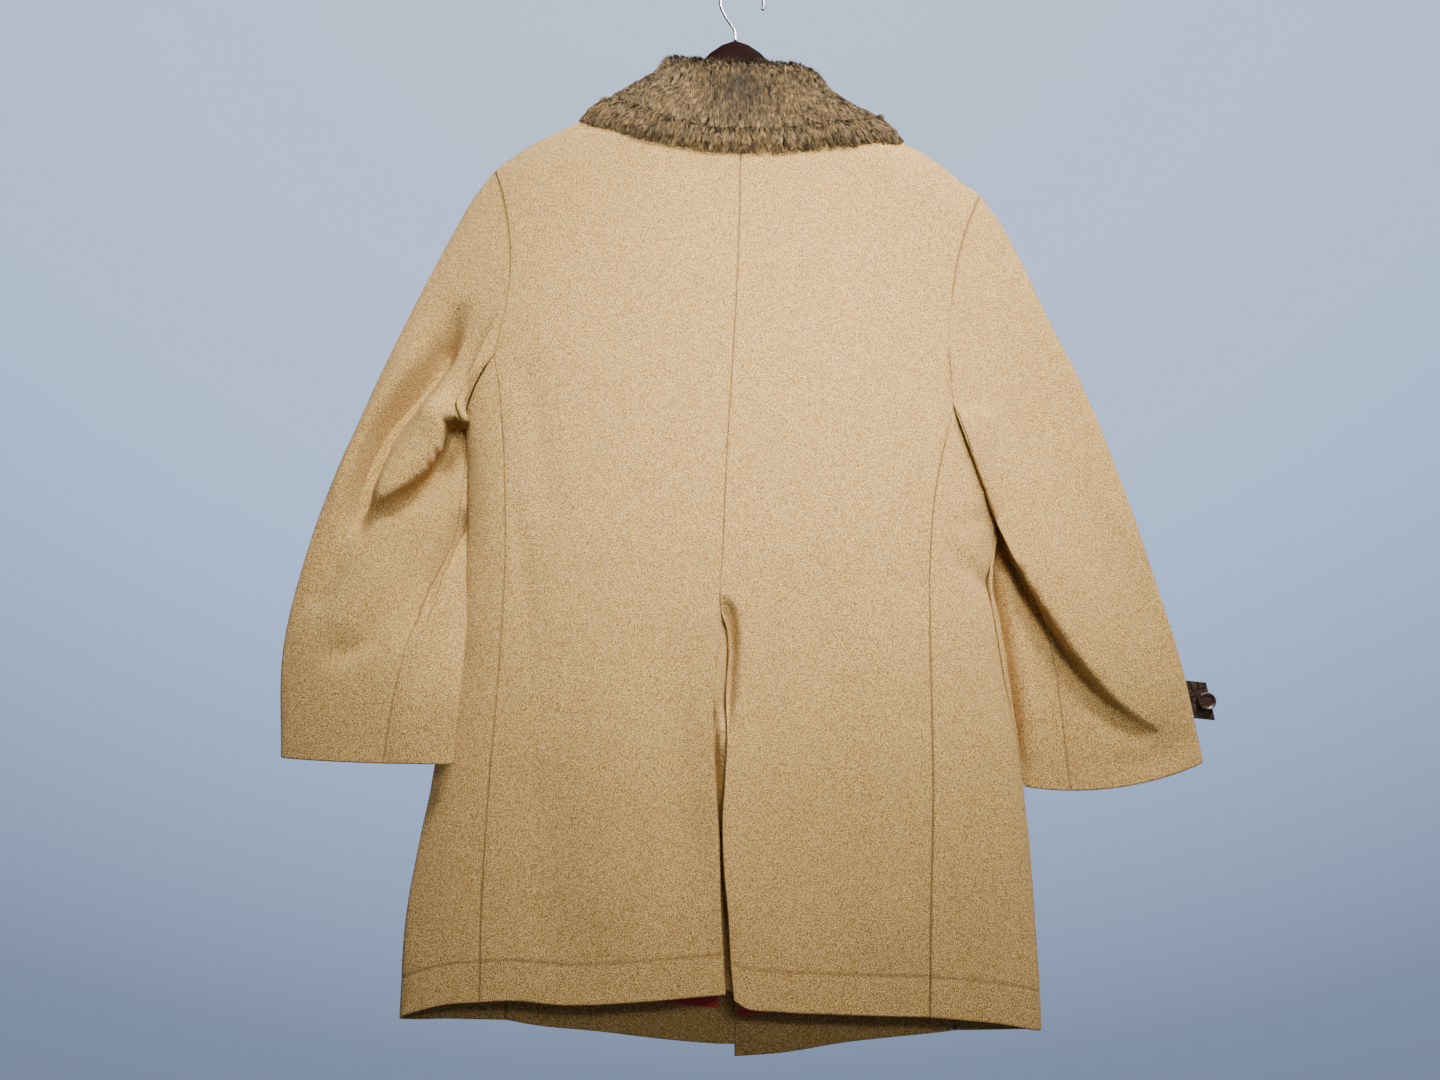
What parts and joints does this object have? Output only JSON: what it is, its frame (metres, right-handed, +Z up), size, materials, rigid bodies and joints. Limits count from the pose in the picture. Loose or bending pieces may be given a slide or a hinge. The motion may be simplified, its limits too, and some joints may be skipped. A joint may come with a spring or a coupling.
{
  "type": "long coat with fur collar on a hanger",
  "caption": "Three-quarter wool coat with a fur shawl collar, two-piece sleeves, a centre vent and cuff tabs, hung on a wooden hanger with a wire hook.",
  "frame": {"origin": "inside top of the hook, where it bears on a rail", "axes": "+Z up, the coat's back faces -Y, its front faces +Y, +X is the right of the picture and the wearer's right"},
  "size_m": [0.8695, 0.0955, 1.0431],
  "materials": {
    "wool": "camel wool with a fine woven grain",
    "fur": "short tan-brown fur with lighter tips",
    "lining": "smooth dull red lining",
    "leather": "dark brown leather embossed in scales",
    "button": "dark brown, half gloss",
    "wood": "dark stained and varnished",
    "steel": "plain drawn wire"
  },
  "bodies": {
    "root": {"back_left": "wool", "back_right": "wool", "vent_underlap": "wool", "side_left": "wool", "side_right": "wool", "front_left": "wool", "front_right": "wool", "upper_sleeve_left": "wool", "upper_sleeve_right": "wool", "under_sleeve_left": "wool", "under_sleeve_right": "wool", "collar": "fur", "collar_band": "fur", "lining_left": "lining", "lining_right": "lining", "cuff_tab_left": "leather", "cuff_tab_right": "leather", "tab_button_left": "button", "tab_button_right": "button", "front_button_1": "button", "front_button_2": "button", "front_button_3": "button", "hanger": "wood", "hanger_hook": "steel"}
  },
  "joints": []
}
